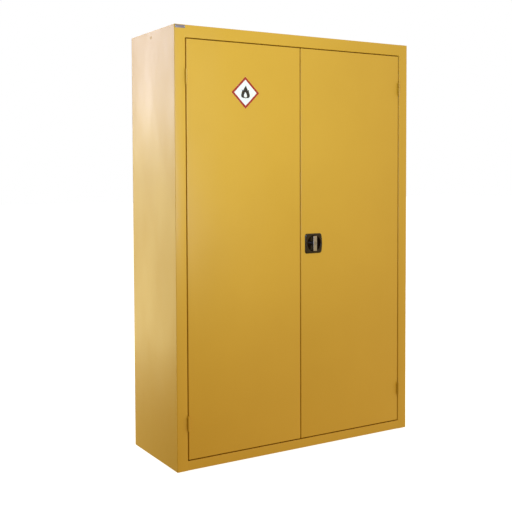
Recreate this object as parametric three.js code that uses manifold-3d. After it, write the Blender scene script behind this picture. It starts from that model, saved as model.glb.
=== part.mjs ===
// Two-door flammable storage cabinet, folded from sheet steel. Millimetres, +Z up, front towards -Y.
// Every piece is drawn with the cabinet's front face at y = 0 and its mid-plane at x = 0.
// The whole cabinet is then moved so that the origin is the middle of its footprint, on the floor.

import * as THREE from 'three';
import { mergeVertices } from 'three/addons/utils/BufferGeometryUtils.js';
import Module from 'manifold-3d';

const wasm = await Module();
wasm.setup();

// ---------------------------------------------------------------- driving dimensions

const WIDTH = 1200;
const DEPTH = 430;
const HEIGHT = 1800;
const SHEET = 1;
const AIR = 0.3;
const BEND_RADIUS = 1.4;
const BEND_STEPS = 3;

const HALF_WIDTH = WIDTH / 2;
const WALL_INSIDE = HALF_WIDTH - SHEET - 0.4;

// Front frame: the stiles are folded from the side panels, the rails run between them.
const JAMB_X = 552.25;
const TOP_RAIL_Z = 1750;
const BOTTOM_RAIL_Z = 39;
const STOP_Y = 25.8;
const STOP_WIDTH = 12;
const TOP_STOP_Z = TOP_RAIL_Z - 14;
const BOTTOM_STOP_Z = BOTTOM_RAIL_Z + 15;
const FLANGE = 20;

// Doors: pans that close flush inside the frame.
const DOOR_DEPTH = 25;
const DOOR_HINGE_X = 547.75;
const DOOR_MEETING_X = 2;
const DOOR_TOP_Z = 1746;
const DOOR_BOTTOM_Z = 43.5;
const DOOR_SIDE_RETURN = 18;
const DOOR_END_RETURN = 30;

// Hinges: lift-type butt hinges whose knuckles stand in front of the gap.
const HINGE_X = 550;
const HINGE_Y = -5.3;
const HINGE_HEIGHT = 60;
const HINGE_FROM_DOOR_END = 150;
const KNUCKLES = 5;
const KNUCKLE_GAP = 0.4;
const KNUCKLE_RADIUS = 5;
const KNUCKLE_BORE = 2.8;
const HINGE_PIN_RADIUS = 2.5;
const LEAF_THICKNESS = 1.6;
const LEAF_DEPTH = 22;

// Door handle, in the right-hand door.
const HANDLE_X = 69;
const HANDLE_Z = 899.5;
const BEZEL_WIDTH = 86;
const BEZEL_HEIGHT = 87;
const BEZEL_BOW = 5;
const BEZEL_OFFSET = -3;
const BEZEL_CORNER = 9;
const BEZEL_FACE_Y = -4.3;
const DISH_RADIUS = 35;
const DISH_FLOOR_RADIUS = 30;
const DISH_FLOOR_Y = 14;
const CUP_WALL = 2.2;
const BAR_WIDTH = 19;
const BAR_LENGTH = 66;
const BAR_CORNER = 2;
const BAR_FRONT_Y = -13;
const BAR_BACK_Y = -5;
const BARREL_RADIUS = 6;
const SPINDLE_SIZE = 7;

// Latching rods: two cranks on the handle's spindle drive them up and down.
const ROD_RADIUS = 4;
const ROD_Y = 33;
const ROD_TRAVEL = 16;
const CRANK_RADIUS = ROD_TRAVEL / Math.SQRT2;
const CRANK_REACH = CRANK_RADIUS / Math.SQRT2;
const CRANK_PIN_RADIUS = 3;
const CAM_FRONT_Y = 25.6;
const CAM_BACK_Y = 28.6;
const ROD_TIP_FROM_STOP = 3;

// Shelves, their slotted uprights and their clips.
const SHELF_HEIGHTS = [450, 900, 1350];
const SHELF_HALF_WIDTH = 574;
const SHELF_FRONT_Y = 57;
const SHELF_BACK_Y = 415;
const SHELF_LIP = 25;
const UPRIGHT_FACE_X = 578.5;
const UPRIGHT_WIDTH = 30;
const UPRIGHT_FRONTS = { front: 75, rear: 370 };
const UPRIGHT_BOTTOM_Z = 75;
const UPRIGHT_TOP_Z = 1780;
const SLOT_PITCH = 75;
const FIRST_SLOT_Z = 150;
const LAST_SLOT_Z = 1725;
const SLOT_WIDTH = 4;
const SLOT_HEIGHT = 14;

// ---------------------------------------------------------------- materials

function finish(color, roughness, metalness) {
  return { color, roughness, metalness };
}

const YELLOW = finish(0xd0a33a, 0.4, 0.0);
const GALVANISED = finish(0xb4b6b4, 0.45, 0.9);
const BRIGHT_STEEL = finish(0xc4c4c2, 0.3, 1.0);
const SATIN_CHROME = finish(0xa39c97, 0.35, 1.0);
const BLACK_PLASTIC = finish(0x140c0a, 0.25, 0.0);
const LABEL_WHITE = finish(0xf2f0ec, 0.4, 0.0);
const PLATE_GREY = finish(0x6f6678, 0.4, 0.0);

// ---------------------------------------------------------------- solids

function solidOf(geometry) {
  const bare = geometry.clone();
  bare.deleteAttribute('normal');
  bare.deleteAttribute('uv');
  const merged = mergeVertices(bare);
  const mesh = new wasm.Mesh({
    numProp: 3,
    vertProperties: Float32Array.from(merged.attributes.position.array),
    triVerts: Uint32Array.from(merged.index.array),
  });
  return new wasm.Manifold(mesh);
}

function geometryOf(solid) {
  const mesh = solid.getMesh();
  const geometry = new THREE.BufferGeometry();
  geometry.setAttribute('position', new THREE.Float32BufferAttribute(mesh.vertProperties, 3));
  geometry.setIndex(Array.from(mesh.triVerts));
  geometry.computeVertexNormals();
  return geometry;
}

function joined(pieces) {
  return pieces.reduce((whole, piece) => whole.add(piece));
}

// A box between two opposite corners.
function box([x0, x1], [y0, y1], [z0, z1]) {
  const geometry = new THREE.BoxGeometry(Math.abs(x1 - x0), y1 - y0, z1 - z0);
  geometry.translate((x0 + x1) / 2, (y0 + y1) / 2, (z0 + z1) / 2);
  return solidOf(geometry);
}

function cylinderAlongZ(radius, x, y, [z0, z1], sides = 24) {
  const geometry = new THREE.CylinderGeometry(radius, radius, z1 - z0, sides);
  geometry.rotateX(Math.PI / 2);
  geometry.translate(x, y, (z0 + z1) / 2);
  return solidOf(geometry);
}

function cylinderAlongY(radius, x, [y0, y1], z, sides = 24) {
  const geometry = new THREE.CylinderGeometry(radius, radius, y1 - y0, sides);
  geometry.translate(x, (y0 + y1) / 2, z);
  return solidOf(geometry);
}

// A turned body about the Y axis through (x, z), from its closed half-outline [radius, y].
function turnedAlongY(outline, x, z, sides = 48) {
  const points = outline.map(([radius, y]) => new THREE.Vector2(radius, y));
  const geometry = new THREE.LatheGeometry(points, sides);
  geometry.translate(x, 0, z);
  return solidOf(geometry);
}

function extruded(shape, depth) {
  return new THREE.ExtrudeGeometry(shape, { depth, bevelEnabled: false, curveSegments: 6 });
}

// An upright prism: the outline lies in the XY plane.
function prismAlongZ(shape, [z0, z1]) {
  const geometry = extruded(shape, z1 - z0);
  geometry.translate(0, 0, z0);
  return solidOf(geometry);
}

// A prism along X: the outline's first coordinate is y and its second is z.
function prismAlongX(shape, [x0, x1]) {
  const geometry = extruded(shape, x1 - x0);
  const turn = new THREE.Matrix4().set(0, 0, 1, x0, 1, 0, 0, 0, 0, 1, 0, 0, 0, 0, 0, 1);
  return solidOf(geometry.applyMatrix4(turn));
}

// A prism along Y: the outline's first coordinate is x and its second is z.
function prismAlongY(shape, [y0, y1]) {
  const geometry = extruded(shape, y1 - y0);
  const turn = new THREE.Matrix4().set(1, 0, 0, 0, 0, 0, -1, y1, 0, 1, 0, 0, 0, 0, 0, 1);
  return solidOf(geometry.applyMatrix4(turn));
}

// The section of a bent sheet. The corners are those of one face, and the steel lies to its left.
function foldedSection(corners, thickness = SHEET) {
  const face = corners.map(([x, y]) => new THREE.Vector2(x, y));
  const samples = [];
  for (let i = 0; i < face.length; i += 1) {
    const before = face[Math.max(i - 1, 0)];
    const after = face[Math.min(i + 1, face.length - 1)];
    const isEnd = i === 0 || i === face.length - 1;
    const incoming = (i === 0 ? after.clone().sub(face[i]) : face[i].clone().sub(before)).normalize();
    const outgoing = isEnd ? incoming.clone() : after.clone().sub(face[i]).normalize();
    const startNormal = new THREE.Vector2(-incoming.y, incoming.x);
    if (isEnd) {
      samples.push({ point: face[i], normal: startNormal });
      continue;
    }
    const turn = Math.atan2(incoming.cross(outgoing), incoming.dot(outgoing));
    const side = Math.sign(turn);
    const radius = side > 0 ? BEND_RADIUS + thickness : BEND_RADIUS;
    const setback = radius * Math.tan(Math.abs(turn) / 2);
    const start = face[i].clone().addScaledVector(incoming, -setback);
    const centre = start.clone().addScaledVector(startNormal, side * radius);
    for (let step = 0; step <= BEND_STEPS; step += 1) {
      const normal = startNormal.clone().rotateAround(new THREE.Vector2(), (turn * step) / BEND_STEPS);
      samples.push({ point: centre.clone().addScaledVector(normal, -side * radius), normal });
    }
  }
  const near = samples.map(({ point }) => point);
  const far = samples.map(({ point, normal }) => point.clone().addScaledVector(normal, thickness));
  return new THREE.Shape(near.concat(far.reverse()));
}

// Mirrors an open path left to right and keeps its steel on the left of its direction.
function mirrored(corners) {
  return corners.map(([x, y]) => [-x, y]).reverse();
}

// A left-hand path when side is -1, or its mirror image when side is 1.
function onSide(side, leftCorners) {
  return side < 0 ? leftCorners : mirrored(leftCorners);
}

// A left-hand span of x when side is -1, or its mirror image when side is 1.
function spanOnSide(side, [x0, x1]) {
  return side < 0 ? [x0, x1] : [-x1, -x0];
}

function roundedRectangle(width, height, corner) {
  const w = width / 2;
  const h = height / 2;
  const shape = new THREE.Shape();
  shape.moveTo(-w + corner, -h);
  shape.lineTo(w - corner, -h);
  shape.absarc(w - corner, -h + corner, corner, -Math.PI / 2, 0);
  shape.lineTo(w, h - corner);
  shape.absarc(w - corner, h - corner, corner, 0, Math.PI / 2);
  shape.lineTo(-w + corner, h);
  shape.absarc(-w + corner, h - corner, corner, Math.PI / 2, Math.PI);
  shape.lineTo(-w, -h + corner);
  shape.absarc(-w + corner, -h + corner, corner, Math.PI, 1.5 * Math.PI);
  return shape;
}

// ---------------------------------------------------------------- scene

const cabinet = new THREE.Group();
cabinet.position.y = -(DEPTH + BAR_FRONT_Y) / 2;

function place(name, solid, look) {
  const mesh = new THREE.Mesh(geometryOf(solid), new THREE.MeshStandardMaterial(look));
  mesh.name = name;
  cabinet.add(mesh);
  return mesh;
}

const SIDES = { left: -1, right: 1 };

// ---------------------------------------------------------------- carcass

// Outer wall, front stile, jamb, door stop and back flange, folded from one sheet, with a foot flange.
function sidePanel(side) {
  const section = foldedSection(onSide(side, [
    [-HALF_WIDTH + FLANGE, DEPTH - SHEET - AIR],
    [-HALF_WIDTH, DEPTH - SHEET - AIR],
    [-HALF_WIDTH, 0],
    [-JAMB_X, 0],
    [-JAMB_X, STOP_Y],
    [-JAMB_X + STOP_WIDTH, STOP_Y],
  ]));
  const footSpan = spanOnSide(side, [-HALF_WIDTH + SHEET / 2, -HALF_WIDTH + 25]);
  const foot = box(footSpan, [3, DEPTH - 5], [0, SHEET]);
  const underRoof = [HEIGHT - SHEET - AIR, HEIGHT + 1];
  const roofSeat = box(spanOnSide(side, [-WALL_INSIDE - 0.25, -JAMB_X + FLANGE]), [1.25, DEPTH - 2.7], underRoof);
  return prismAlongZ(section, [0, HEIGHT]).subtract(roofSeat).add(foot);
}

// How far back a rail is cut away at its ends to clear the bend of the side panels' door stops.
function stopDepth() {
  return [STOP_Y - BEND_RADIUS - AIR, STOP_Y + SHEET + AIR];
}

// The roof sheet, with the front top rail and its door stop folded down from it.
function topPanel() {
  const section = foldedSection([
    [DEPTH - SHEET - AIR, HEIGHT - FLANGE],
    [DEPTH - SHEET - AIR, HEIGHT],
    [0, HEIGHT],
    [0, TOP_RAIL_Z],
    [STOP_Y, TOP_RAIL_Z],
    [STOP_Y, TOP_STOP_Z],
  ]);
  const railHalf = JAMB_X - AIR;
  const roofDepth = [SHEET + AIR, DEPTH - 3];
  const roof = box([-WALL_INSIDE, WALL_INSIDE], roofDepth, [HEIGHT - SHEET, HEIGHT]);
  const stopNotches = Object.values(SIDES).map((side) => {
    const span = spanOnSide(side, [-railHalf - 1, -JAMB_X + STOP_WIDTH + AIR]);
    return box(span, stopDepth(), [TOP_STOP_Z - 1, TOP_RAIL_Z + SHEET + 5]);
  });
  const folded = prismAlongX(section, [-railHalf, railHalf]);
  return stopNotches.reduce((panel, notch) => panel.subtract(notch), folded).add(roof);
}

function backPanel() {
  return box([-HALF_WIDTH + AIR, HALF_WIDTH - AIR], [DEPTH - SHEET, DEPTH], [0, HEIGHT - AIR]);
}

// The front base rail: toe face, threshold and bottom door stop, resting on its foot flange.
function frontBaseRail() {
  const section = foldedSection([
    [STOP_Y, BOTTOM_STOP_Z],
    [STOP_Y, BOTTOM_RAIL_Z],
    [0, BOTTOM_RAIL_Z],
    [0, 0],
    [FLANGE + 5, 0],
  ]);
  const railHalf = JAMB_X - AIR;
  const stopNotches = Object.values(SIDES).map((side) => {
    const span = spanOnSide(side, [-railHalf - 1, -JAMB_X + STOP_WIDTH + AIR]);
    return box(span, stopDepth(), [BOTTOM_RAIL_Z - SHEET - 5, BOTTOM_STOP_Z + 1]);
  });
  const folded = prismAlongX(section, [-railHalf, railHalf]);
  return stopNotches.reduce((rail, notch) => rail.subtract(notch), folded);
}

const SUMP_FLOOR_Z = 14;
const SUMP_TOP_Z = 70;

function rearBaseRail() {
  const top = SUMP_FLOOR_Z - AIR;
  const back = DEPTH - SHEET - 2 * AIR - SHEET;
  const section = foldedSection([[back - 25, 0], [back, 0], [back, top], [back - 25, top]]);
  return prismAlongX(section, [-SHELF_HALF_WIDTH, SHELF_HALF_WIDTH]);
}

// The welded tray in the cabinet's base that holds spilled liquid. It starts behind the path of the
// latch rods and slide bolts.
function sumpTray() {
  const front = ROD_Y + ROD_RADIUS + 7;
  const back = DEPTH - SHEET - 3 * AIR - SHEET;
  const sides = [-WALL_INSIDE, WALL_INSIDE];
  const floor = box(sides, [front, back], [SUMP_FLOOR_Z, SUMP_FLOOR_Z + SHEET]);
  const frontWall = box(sides, [front, front + SHEET], [SUMP_FLOOR_Z, BOTTOM_STOP_Z - 4]);
  const backWall = box(sides, [back - SHEET, back], [SUMP_FLOOR_Z, SUMP_TOP_Z]);
  const sideWalls = Object.values(SIDES).map((side) => {
    const span = spanOnSide(side, [-WALL_INSIDE, -WALL_INSIDE + SHEET]);
    return box(span, [front, back], [SUMP_FLOOR_Z, BOTTOM_STOP_Z - 4]);
  });
  return joined([floor, frontWall, backWall, ...sideWalls]);
}

function namePlate() {
  return box([-597, -553], [-AIR - 0.6, -AIR], [1786, 1798]);
}

place('back_panel', backPanel(), YELLOW);
place('top_panel', topPanel(), YELLOW);
place('base_rail_front', frontBaseRail(), YELLOW);
place('base_rail_rear', rearBaseRail(), YELLOW);
place('sump_tray', sumpTray(), YELLOW);
place('blank_name_plate', namePlate(), PLATE_GREY);
for (const [name, side] of Object.entries(SIDES)) {
  place(`side_panel_${name}`, sidePanel(side), YELLOW);
}

// ---------------------------------------------------------------- shelving

// A channel with its slotted web towards the inside of the cabinet.
function upright(side, front) {
  const back = front + UPRIGHT_WIDTH;
  const section = foldedSection(onSide(side, [
    [-WALL_INSIDE, front],
    [-UPRIGHT_FACE_X, front],
    [-UPRIGHT_FACE_X, back],
    [-WALL_INSIDE, back],
  ]));
  const middle = front + UPRIGHT_WIDTH / 2;
  const web = spanOnSide(side, [-UPRIGHT_FACE_X - SHEET - 1, -UPRIGHT_FACE_X + 1]);
  let channel = prismAlongZ(section, [UPRIGHT_BOTTOM_Z, UPRIGHT_TOP_Z]);
  for (let z = FIRST_SLOT_Z; z <= LAST_SLOT_Z; z += SLOT_PITCH) {
    const slotSpan = [middle - SLOT_WIDTH / 2, middle + SLOT_WIDTH / 2];
    channel = channel.subtract(box(web, slotSpan, [z - SLOT_HEIGHT, z]));
  }
  return channel;
}

// A hook through one slot, with a seat that carries a corner of the shelf.
function shelfClip(side, front, z) {
  const middle = front + UPRIGHT_WIDTH / 2;
  const plateX = -UPRIGHT_FACE_X + AIR;
  const width = [middle - 10, middle + 10];
  const plate = box(spanOnSide(side, [plateX, plateX + 1.6]), width, [z - 22, z]);
  const seat = box(spanOnSide(side, [plateX, plateX + 18]), width, [z - 1.6, z]);
  const hookWidth = [middle - SLOT_WIDTH / 2 + AIR, middle + SLOT_WIDTH / 2 - AIR];
  const tongue = box(spanOnSide(side, [plateX - 6, plateX + 1]), hookWidth, [z - 9, z - AIR]);
  const hook = box(spanOnSide(side, [plateX - 6, plateX - AIR - SHEET - AIR]), hookWidth, [z - 19, z - AIR]);
  return joined([plate, seat, tongue, hook]);
}

// A shelf with upturned, hemmed lips that keep a spill on it. Its seat is at height 0.
function shelf() {
  const bottom = AIR;
  const rim = bottom + SHELF_LIP;
  const section = foldedSection([
    [SHELF_FRONT_Y + 8, rim],
    [SHELF_FRONT_Y, rim],
    [SHELF_FRONT_Y, bottom],
    [SHELF_BACK_Y, bottom],
    [SHELF_BACK_Y, rim],
    [SHELF_BACK_Y - 8, rim],
  ]);
  const tray = prismAlongX(section, [-SHELF_HALF_WIDTH, SHELF_HALF_WIDTH]);
  const ends = Object.values(SIDES).map((side) => {
    const span = spanOnSide(side, [-SHELF_HALF_WIDTH, -SHELF_HALF_WIDTH + SHEET]);
    return box(span, [SHELF_FRONT_Y + 0.6, SHELF_BACK_Y - 0.6], [bottom + 0.6, rim - 0.6]);
  });
  return joined([tray, ...ends]);
}

for (const [name, side] of Object.entries(SIDES)) {
  for (const [row, front] of Object.entries(UPRIGHT_FRONTS)) {
    place(`upright_${row}_${name}`, upright(side, front), YELLOW);
    SHELF_HEIGHTS.forEach((z, i) => {
      place(`shelf_clip_${i + 1}_${row}_${name}`, shelfClip(side, front, z), GALVANISED);
    });
  }
}
SHELF_HEIGHTS.forEach((z, i) => {
  place(`shelf_${i + 1}`, shelf(), YELLOW).position.z = z;
});

// ---------------------------------------------------------------- doors

// A pan: outer skin, four walls and the returned edges behind them.
function doorPan(side) {
  const back = DOOR_DEPTH;
  const section = foldedSection(onSide(side, [
    [-DOOR_HINGE_X + DOOR_SIDE_RETURN, back],
    [-DOOR_HINGE_X, back],
    [-DOOR_HINGE_X, 0],
    [-DOOR_MEETING_X, 0],
    [-DOOR_MEETING_X, back],
    [-DOOR_MEETING_X - DOOR_SIDE_RETURN, back],
  ]));
  const inner = spanOnSide(side, [-DOOR_HINGE_X + SHEET / 2, -DOOR_MEETING_X - SHEET / 2]);
  const returnSpan = spanOnSide(side, [-DOOR_HINGE_X + 4, -DOOR_MEETING_X - 4]);
  const ends = [
    box(inner, [SHEET / 2, back - SHEET / 2], [DOOR_TOP_Z - SHEET, DOOR_TOP_Z]),
    box(inner, [SHEET / 2, back - SHEET / 2], [DOOR_BOTTOM_Z, DOOR_BOTTOM_Z + SHEET]),
    box(returnSpan, [back - SHEET, back], [DOOR_TOP_Z - DOOR_END_RETURN, DOOR_TOP_Z]),
    box(returnSpan, [back - SHEET, back], [DOOR_BOTTOM_Z, DOOR_BOTTOM_Z + DOOR_END_RETURN]),
  ];
  return joined([prismAlongZ(section, [DOOR_BOTTOM_Z, DOOR_TOP_Z]), ...ends]);
}

// A top-hat channel behind the middle of a door's skin.
function doorStiffener(side) {
  const middle = -(DOOR_HINGE_X + DOOR_MEETING_X) / 2;
  const skin = SHEET + AIR;
  const crown = 18.8;
  const section = foldedSection(onSide(side, [
    [middle - 45, skin],
    [middle - 25, skin],
    [middle - 25, crown],
    [middle + 25, crown],
    [middle + 25, skin],
    [middle + 45, skin],
  ]));
  return prismAlongZ(section, [DOOR_BOTTOM_Z + 12, DOOR_TOP_Z - 12]);
}

const LABEL_SIDE = 94;
const LABEL_X = -275;
const LABEL_Z = 1542.5;

function hazardLabel() {
  const half = LABEL_SIDE / Math.SQRT2;
  const diamond = new THREE.Shape();
  diamond.moveTo(LABEL_X - half, LABEL_Z);
  diamond.lineTo(LABEL_X, LABEL_Z - half);
  diamond.lineTo(LABEL_X + half, LABEL_Z);
  diamond.lineTo(LABEL_X, LABEL_Z + half);
  return prismAlongY(diamond, [-AIR - 0.5, -AIR]);
}

const bezelHole = cylinderAlongY(38, HANDLE_X, [-2, 4], HANDLE_Z, 48);
place('door_left', doorPan(SIDES.left), YELLOW);
place('door_right', doorPan(SIDES.right).subtract(bezelHole), YELLOW);
place('door_stiffener_left', doorStiffener(SIDES.left), YELLOW);
place('door_stiffener_right', doorStiffener(SIDES.right), YELLOW);
place('hazard_label', hazardLabel(), LABEL_WHITE);

// ---------------------------------------------------------------- hinges

// One leaf with its own knuckles. The frame leaf has knuckles 0, 2 and 4, the door leaf 1 and 3.
function hingeLeaf(side, middleZ, owner) {
  const bottom = middleZ - HINGE_HEIGHT / 2;
  const pitch = HINGE_HEIGHT / KNUCKLES;
  const inset = owner === 'frame' ? [-0.35 - LEAF_THICKNESS, -0.35] : [0.35, 0.35 + LEAF_THICKNESS];
  const leafSpan = spanOnSide(side, [-HINGE_X + inset[0], -HINGE_X + inset[1]]);
  let leaf = box(leafSpan, [0.05, LEAF_DEPTH], [bottom, bottom + HINGE_HEIGHT]);
  for (let i = owner === 'frame' ? 0 : 1; i < KNUCKLES; i += 2) {
    const span = [bottom + i * pitch + KNUCKLE_GAP / 2, bottom + (i + 1) * pitch - KNUCKLE_GAP / 2];
    const knuckle = cylinderAlongZ(KNUCKLE_RADIUS, side * HINGE_X, HINGE_Y, span, 16);
    const strap = box(leafSpan, [-2.2, 1], span);
    leaf = joined([leaf, knuckle, strap]);
  }
  const boreSpan = [bottom - 1, bottom + HINGE_HEIGHT + 1];
  const bore = cylinderAlongZ(KNUCKLE_BORE, side * HINGE_X, HINGE_Y, boreSpan, 16);
  return leaf.subtract(bore);
}

function hingePin(side, middleZ) {
  const reach = HINGE_HEIGHT / 2 + 1;
  return cylinderAlongZ(HINGE_PIN_RADIUS, side * HINGE_X, HINGE_Y, [middleZ - reach, middleZ + reach], 16);
}

const HINGE_MIDDLES = {
  upper: DOOR_TOP_Z - HINGE_FROM_DOOR_END,
  lower: DOOR_BOTTOM_Z + HINGE_FROM_DOOR_END,
};

for (const [name, side] of Object.entries(SIDES)) {
  for (const [level, z] of Object.entries(HINGE_MIDDLES)) {
    place(`hinge_frame_leaf_${level}_${name}`, hingeLeaf(side, z, 'frame'), YELLOW);
    place(`hinge_door_leaf_${level}_${name}`, hingeLeaf(side, z, 'door'), YELLOW);
    place(`hinge_pin_${level}_${name}`, hingePin(side, z), YELLOW);
  }
}

// ---------------------------------------------------------------- handle and lock

// The bezel's face: a rounded square whose right-hand side bows outwards.
function bezelOutline() {
  const w = BEZEL_WIDTH / 2;
  const h = BEZEL_HEIGHT / 2;
  const shape = new THREE.Shape();
  shape.moveTo(-w + BEZEL_CORNER, -h);
  shape.lineTo(w - BEZEL_CORNER, -h);
  shape.quadraticCurveTo(w, -h, w, -h + BEZEL_CORNER);
  shape.quadraticCurveTo(w + 2 * BEZEL_BOW, 0, w, h - BEZEL_CORNER);
  shape.quadraticCurveTo(w, h, w - BEZEL_CORNER, h);
  shape.lineTo(-w + BEZEL_CORNER, h);
  shape.absarc(-w + BEZEL_CORNER, h - BEZEL_CORNER, BEZEL_CORNER, Math.PI / 2, Math.PI);
  shape.lineTo(-w, -h + BEZEL_CORNER);
  shape.absarc(-w + BEZEL_CORNER, -h + BEZEL_CORNER, BEZEL_CORNER, Math.PI, 1.5 * Math.PI);
  return shape;
}

function atHandle(shape, offset = 0) {
  const centre = new THREE.Vector2(HANDLE_X + offset, HANDLE_Z);
  const points = shape.getPoints(6).map((point) => point.clone().add(centre));
  return new THREE.Shape(points);
}

// Face plate, round finger dish and the boss that carries the spindle.
function handleBezel() {
  const plate = prismAlongY(atHandle(bezelOutline(), BEZEL_OFFSET), [BEZEL_FACE_Y, -AIR]);
  const cup = turnedAlongY([
    [0, -1],
    [DISH_RADIUS + CUP_WALL, -1],
    [DISH_FLOOR_RADIUS + CUP_WALL, DISH_FLOOR_Y + CUP_WALL],
    [0, DISH_FLOOR_Y + CUP_WALL],
  ], HANDLE_X, HANDLE_Z);
  const dish = turnedAlongY([
    [0, BEZEL_FACE_Y - 1],
    [DISH_RADIUS, BEZEL_FACE_Y - 1],
    [DISH_RADIUS, BEZEL_FACE_Y + 1],
    [DISH_FLOOR_RADIUS, DISH_FLOOR_Y],
    [0, DISH_FLOOR_Y],
  ], HANDLE_X, HANDLE_Z);
  const boss = cylinderAlongY(10, HANDLE_X, [DISH_FLOOR_Y + 1, CAM_FRONT_Y - 1.5], HANDLE_Z);
  const spindleHole = cylinderAlongY(5.6, HANDLE_X, [0, CAM_FRONT_Y], HANDLE_Z);
  return joined([plate, cup]).subtract(dish).add(boss).subtract(spindleHole);
}

// The plate behind the door's skin that the bezel is screwed to.
function bezelBackplate() {
  const plate = prismAlongY(atHandle(roundedRectangle(96, 96, 6)), [SHEET + AIR, SHEET + AIR + 1.5]);
  return plate.subtract(cylinderAlongY(38, HANDLE_X, [0, 5], HANDLE_Z, 48));
}

// The turn bar, with its hub in the dish. The lock barrel sits in a bore in its front.
function handleBar() {
  const outline = roundedRectangle(BAR_WIDTH, BAR_LENGTH, BAR_CORNER);
  const bar = prismAlongY(atHandle(outline), [BAR_FRONT_Y, BAR_BACK_Y]);
  const hub = cylinderAlongY(9.2, HANDLE_X, [BAR_BACK_Y - 1, DISH_FLOOR_Y - AIR], HANDLE_Z);
  const barrelBore = cylinderAlongY(BARREL_RADIUS + AIR, HANDLE_X, [BAR_FRONT_Y - 1, 6], HANDLE_Z);
  const spindleBore = squareAlongY(SPINDLE_SIZE + 2 * AIR, [5, DISH_FLOOR_Y + 1]);
  return joined([bar, hub]).subtract(barrelBore).subtract(spindleBore);
}

function squareAlongY(size, [y0, y1]) {
  const half = size / 2;
  return box([HANDLE_X - half, HANDLE_X + half], [y0, y1], [HANDLE_Z - half, HANDLE_Z + half]);
}

// The key barrel, with its keyway.
function lockBarrel() {
  const body = cylinderAlongY(BARREL_RADIUS, HANDLE_X, [BAR_FRONT_Y + AIR, 5.7], HANDLE_Z);
  const keyway = box([HANDLE_X - 0.8, HANDLE_X + 0.8], [BAR_FRONT_Y - 1, 0], [HANDLE_Z - 3.6, HANDLE_Z + 3.6]);
  return body.subtract(keyway);
}

// The crank plate on the spindle's inner end. Its two pins stand at 45 degrees below and above level.
function driveCam() {
  const arm = roundedRectangle(2 * CRANK_RADIUS + 12, 14, 6.9);
  const turned = arm.getPoints(6).map((p) => p.clone().rotateAround(new THREE.Vector2(), -Math.PI / 4));
  const plate = prismAlongY(atHandle(new THREE.Shape(turned)), [CAM_FRONT_Y, CAM_BACK_Y]);
  const pins = [1, -1].map((sign) => {
    const pinSpan = [CAM_BACK_Y - 0.5, ROD_Y + 2.8];
    const reach = sign * CRANK_REACH;
    return cylinderAlongY(CRANK_PIN_RADIUS, HANDLE_X + reach, pinSpan, HANDLE_Z - reach);
  });
  const squareHole = squareAlongY(SPINDLE_SIZE + 2 * AIR, [CAM_FRONT_Y - 1, CAM_BACK_Y + 1]);
  return joined([plate, ...pins]).subtract(squareHole);
}

place('handle_bezel', handleBezel(), BLACK_PLASTIC);
place('bezel_backplate', bezelBackplate(), GALVANISED);
place('handle_bar', handleBar(), SATIN_CHROME);
place('handle_spindle', squareAlongY(SPINDLE_SIZE, [6.3, CAM_BACK_Y + 0.7]), BRIGHT_STEEL);
place('lock_barrel', lockBarrel(), BRIGHT_STEEL);
place('drive_cam', driveCam(), GALVANISED);

// ---------------------------------------------------------------- latching rods

const ROD_OFFSET = (CRANK_REACH + CRANK_RADIUS) / 2;
const UPPER_TIP_Z = TOP_STOP_Z - ROD_TIP_FROM_STOP;
const LOWER_TIP_Z = BOTTOM_STOP_Z + ROD_TIP_FROM_STOP;

// A round rod whose inner end is a flat eye with a level slot for its crank pin.
function latchRod(direction) {
  const x = HANDLE_X + direction * ROD_OFFSET;
  const pinZ = HANDLE_Z - direction * CRANK_REACH;
  const tip = direction > 0 ? UPPER_TIP_Z : LOWER_TIP_Z;
  const shaftSpan = direction > 0 ? [pinZ + 6.5, tip] : [tip, pinZ - 6.5];
  const halfEye = ROD_OFFSET - AIR;
  const eye = box([x - halfEye, x + halfEye], [ROD_Y - 2, ROD_Y + 2], [pinZ - 8, pinZ + 8]);
  const slotHalf = (CRANK_RADIUS - CRANK_REACH) / 2 + CRANK_PIN_RADIUS + 0.6;
  const slot = box([x - slotHalf, x + slotHalf], [ROD_Y - 3, ROD_Y + 3], [pinZ - 3.7, pinZ + 3.7]);
  const shaft = cylinderAlongZ(ROD_RADIUS, x, ROD_Y, shaftSpan, 16);
  return joined([eye, shaft]).subtract(slot);
}

// A block on the door's back return with a bore for a rod or bolt.
function guideBlock(x, span) {
  const block = box([x - 8.5, x + 8.5], [DOOR_DEPTH + AIR, ROD_Y + 8], span);
  return block.subtract(cylinderAlongZ(ROD_RADIUS + 0.5, x, ROD_Y, [span[0] - 1, span[1] + 1], 20));
}

place('rod_upper', latchRod(1), BRIGHT_STEEL);
place('rod_lower', latchRod(-1), BRIGHT_STEEL);
const ROD_GUIDE_LENGTH = 14;
const UPPER_GUIDE_TOP = UPPER_TIP_Z - 1;
const LOWER_GUIDE_BOTTOM = LOWER_TIP_Z + 1;
const upperRodGuideSpan = [UPPER_GUIDE_TOP - ROD_GUIDE_LENGTH, UPPER_GUIDE_TOP];
const lowerRodGuideSpan = [LOWER_GUIDE_BOTTOM, LOWER_GUIDE_BOTTOM + ROD_GUIDE_LENGTH];
place('rod_guide_upper', guideBlock(HANDLE_X + ROD_OFFSET, upperRodGuideSpan), GALVANISED);
place('rod_guide_lower', guideBlock(HANDLE_X - ROD_OFFSET, lowerRodGuideSpan), GALVANISED);

// ---------------------------------------------------------------- bolts of the left-hand door

const BOLT_X = -12;
const BOLT_LENGTH = 95;
const BOLT_GUIDE_LENGTH = 30;

// A round slide bolt with a finger knob. It starts drawn back, clear of the frame.
function slideBolt(direction, tip) {
  const tail = tip - direction * BOLT_LENGTH;
  const shaft = cylinderAlongZ(ROD_RADIUS, BOLT_X, ROD_Y, [Math.min(tip, tail), Math.max(tip, tail)], 16);
  const knob = cylinderAlongY(5, BOLT_X, [ROD_Y, ROD_Y + 16], tail + direction * 12, 16);
  return shaft.add(knob);
}

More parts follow.
